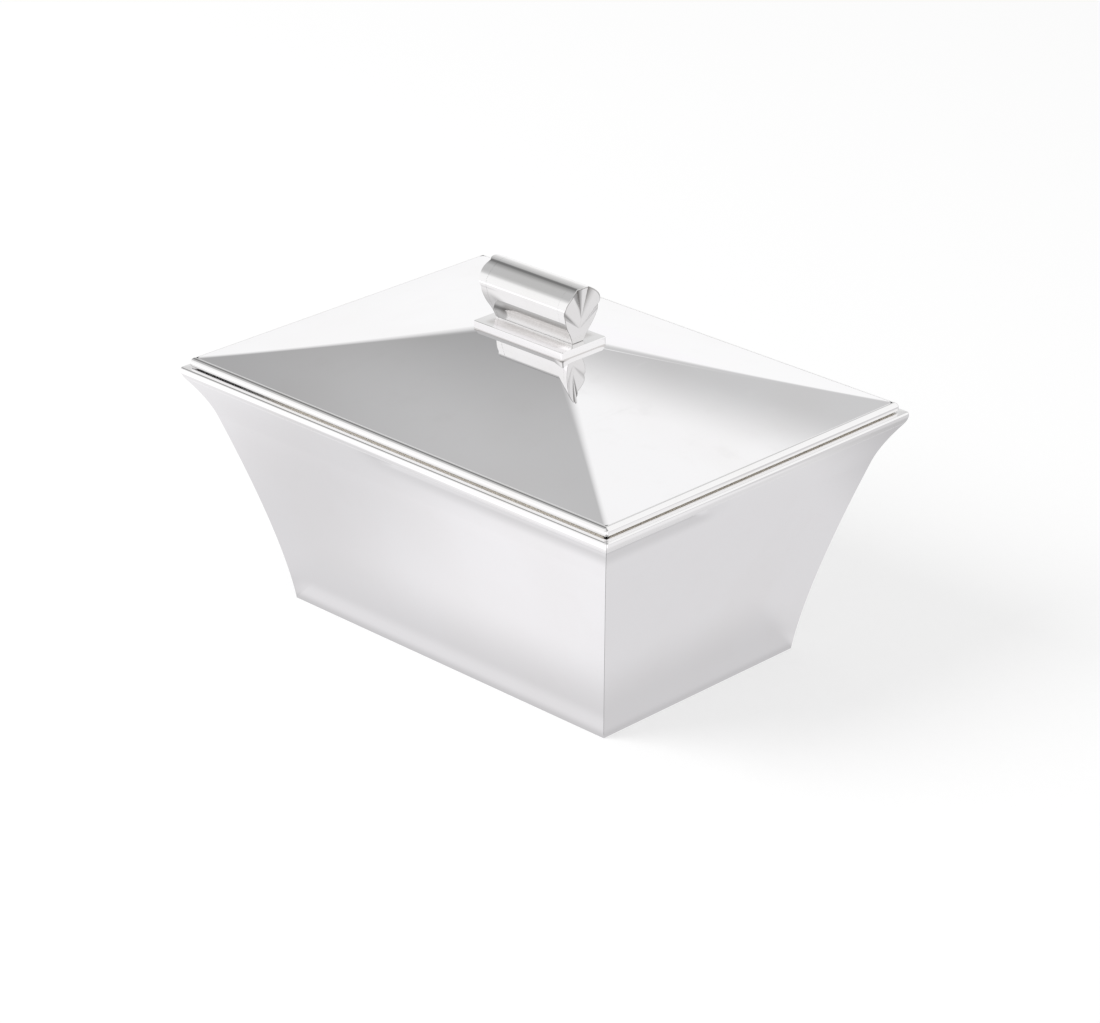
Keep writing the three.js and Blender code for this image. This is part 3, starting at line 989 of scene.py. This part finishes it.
# The rings of a fan stand at these shares of the way out from the hearts, closer together at the edge.
edge_share = 0.98
fan_shares = (1, edge_share, 0.95, 0.9, 0.84, 0.77, 0.69, 0.6, 0.5, 0.4, 0.3, 0.2, 0.1, 0.04)


def fold_at(point):
    """How deep the crease is at a point of the outline: full at the crest and half at the shoulders."""
    if point.y > shoulder.y:
        return 1
    return shoulder_fold if point.y == shoulder.y else 0


def fan_ring(share, shade_shares):
    """A ring of the fan at a share of the way out from the hearts. Its painted shade joins shade_shares."""
    ring = []
    for start, pull, end, heart_start, heart_end in petals:
        for step, point in enumerate(bend(start, pull, end, petal_steps)[:-1]):
            along = step / petal_steps
            heart = Vector((0, heart_start + (heart_end - heart_start) * along))
            landing = heart.lerp(point, share)
            beside = max(0, (abs(2 * along - 1) - petal_flat) / (1 - petal_flat))
            crease = fold_at(start if along < 0.5 else end) * beside**crease_power
            face = fan_crest - fan_lean * (crest_top - landing.y)
            x = face - pleat_depth * crease * share - (fan_lip if share == 1 else 0)
            ring.append((x, landing.x, landing.y))
            if share == 1:
                shade_shares.append(0)
            elif share == edge_share:
                shade_shares.append(edge_shade)
            else:
                crease_shade = crease**shade_power * (heart_shade + (1 - heart_shade) * share)
                shade_shares.append(face_shade + (1 - face_shade) * crease_shade)
    return ring


def painted_fan_shade(place):
    """The share of painted shade that fan_ring gave to each point."""
    return place.node("ShaderNodeAttribute", {"attribute_name": "soil"}, output="Fac")


# The fans carry painted shade in their creases, over their face and just inside their edge.
fan_silver = polished_silver(
    "fan_silver", moulding_silver, moulding_bloom, roughness=0.06, ripple=0.002 * mm,
    recess=painted_fan_shade, light_and_shade_colour=fan_painted_shade,
)
for name, turn in (("right", 0), ("left", math.pi)):
    soil = []
    face_rings = [fan_ring(share, soil) for share in fan_shares]
    back_ring = [(fan_back, y, z) for x, y, z in face_rings[0]]
    fan = loft(f"{name}_fan_skin", [back_ring] + face_rings)
    # Each point's share of painted shade goes into an attribute for the fans' material.
    fan_shading_layer = fan.data.attributes.new("soil", "FLOAT", "POINT")
    fan_shading_layer.data.foreach_set("value", [0] * len(back_ring) + soil)
    fan.data.transform(Matrix.Rotation(turn, 4, "Z"))
    fan.data.materials.append(fan_silver)
    fan.data.shade_smooth()
    fan.data.set_sharp_from_angle(angle=math.radians(crease_angle))
    fit(fan, "lid", "polished_silver", f"{name}_fan")

# Fixings. Two brass studs are screwed up into the bar and come down through the plate and the roof,
# where a washer and a hexagon nut on each draw the grip down tight.
stud_spacing = 10 * mm
stud_radius = 2 * mm
stud_low = 103.7 * mm
stud_top = 122.4 * mm
thread_top = 110.4 * mm
thread_pitch = 0.7 * mm
thread_depth = 0.38 * mm
thread_steps = 8
washer_low = 108.6 * mm
washer_high = 109.4 * mm
washer_radius = 4.5 * mm
washer_chamfer = 0.12 * mm
bore_radius = 2.15 * mm
nut_low = 105.2 * mm
nut_high = 108.4 * mm
nut_flat = 3.5 * mm
nut_face = 0.97 * nut_flat
nut_chamfer = 30
round_steps = 48
brass_angle = 25
brass_colour = (0.71, 0.52, 0.23)
dull_brass = (0.42, 0.29, 0.13)


def circle(radius, height):
    """A round ring at a height."""
    ring = []
    for step in range(round_steps):
        angle = 2 * math.pi * step / round_steps
        ring.append((radius * math.cos(angle), radius * math.sin(angle), height))
    return ring


def thread_ring(height):
    """A ring of the stud at a height, let in by the screw thread and by the lead-in at its low end."""
    ring = []
    for step in range(round_steps):
        angle = 2 * math.pi * step / round_steps
        turns = (height / thread_pitch - step / round_steps) % 1
        depth = thread_depth * abs(2 * turns - 1)
        lead_in = max(0, stud_low + thread_pitch - height)
        radius = min(stud_radius - depth, stud_radius - lead_in)
        ring.append((radius * math.cos(angle), radius * math.sin(angle), height))
    return ring


def hexagon(height, chamfer):
    """A ring round the flats of the nut. Its corners run off down a cone, or up one where chamfer is -1."""
    ring = []
    for step in range(round_steps):
        angle = 2 * math.pi * step / round_steps
        past_flat = (angle + math.pi / 6) % (math.pi / 3) - math.pi / 6
        radius = nut_flat / math.cos(past_flat)
        drop = (radius - nut_face) * math.tan(math.radians(nut_chamfer))
        ring.append((radius * math.cos(angle), radius * math.sin(angle), height - chamfer * drop))
    return ring


# Two of the same part, set along the bar at the spacing on either side of the middle.
pair_in = geometry_tree("pair_along_bar", [
    ("Spacing", "NodeSocketFloat"),
    ("Material", "NodeSocketMaterial"),
])
pair_end = pair_in.node("ShaderNodeCombineXYZ", sockets={"X": pair_in.other("Spacing")})
pair_start = pair_in.node("ShaderNodeCombineXYZ", sockets={"X": -1 * pair_in.other("Spacing")})
pair_rail = pair_in.node(
    "GeometryNodeCurvePrimitiveLine", sockets={"Start": pair_start, "End": pair_end}
)
pair_spots = pair_in.node(
    "GeometryNodeCurveToPoints", {"mode": "EVALUATED"}, {"Curve": pair_rail}, "Points"
)
pair_made = pair_in.node(
    "GeometryNodeInstanceOnPoints", sockets={"Points": pair_spots, "Instance": pair_in}
)
close_tree(pair_made, pair_in.other("Material"))
pair_along_bar = pair_in.tree


def turned_brass(name, colour, dull_colour, roughness):
    """Brass with fine turning marks round it, dulled in patches."""
    dull_patches = (0.4, 0.7)
    groove_turns = 42000
    groove_wander = 6
    groove_depth = 0.01 * mm
    patch_wear = 0.15
    material = bpy.data.materials.new(name)
    metal = empty_tree(material)
    place = metal.node("ShaderNodeTexCoord", output="Object")
    height = metal.node("ShaderNodeSeparateXYZ", sockets={0: place}, output="Z")
    patch = metal.node("ShaderNodeTexNoise", sockets={"Vector": place, "Scale": 320, "Detail": 3})
    grooves = metal.sum("SINE", height * groove_turns + patch * groove_wander)
    dull = metal.node(
        "ShaderNodeMix",
        {"data_type": "RGBA"},
        {"Factor": patch.smooth(*dull_patches), "A": (*colour, 1), "B": (*dull_colour, 1)},
        "Result",
    )
    marks = metal.node(
        "ShaderNodeBump",
        sockets={"Height": grooves, "Strength": 0.4, "Distance": groove_depth},
        output="Normal",
    )
    worn = roughness + patch * patch_wear
    surface = metal.node("ShaderNodeBsdfPrincipled", sockets={
        "Base Color": dull, "Metallic": 1, "Roughness": worn, "Normal": marks,
    })
    metal.node("ShaderNodeOutputMaterial", sockets={"Surface": surface})
    return material


brass = turned_brass("turned_brass", brass_colour, dull_brass, roughness=0.22)
thread_turns = (thread_top - stud_low) / thread_pitch
thread_rows = [
    thread_ring(stud_low + thread_pitch * step / thread_steps)
    for step in range(int(thread_turns * thread_steps))
]
stud_rings = thread_rows + [circle(stud_radius, thread_top), circle(stud_radius, stud_top)]
washer_rings = [
    circle(bore_radius, washer_low),
    circle(washer_radius - washer_chamfer, washer_low),
    circle(washer_radius, washer_low + washer_chamfer),
    circle(washer_radius, washer_high - washer_chamfer),
    circle(washer_radius - washer_chamfer, washer_high),
    circle(bore_radius, washer_high),
]
nut_rings = [
    circle(bore_radius, nut_low),
    circle(nut_face, nut_low),
    hexagon(nut_low, -1),
    hexagon(nut_high, 1),
    circle(nut_face, nut_high),
    circle(bore_radius, nut_high),
]
for kind, rings, closed in (
    ("stud", stud_rings, False), ("washer", washer_rings, True), ("nut", nut_rings, True)
):
    pair = loft(f"{kind}s_skin", rings, closed)
    run_tree(pair, pair_along_bar, Spacing=stud_spacing, Material=brass)
    pair.data.shade_smooth()
    pair.data.set_sharp_from_angle(angle=math.radians(brass_angle))
    fit(pair, "lid", "brass", f"left_{kind}", f"right_{kind}")
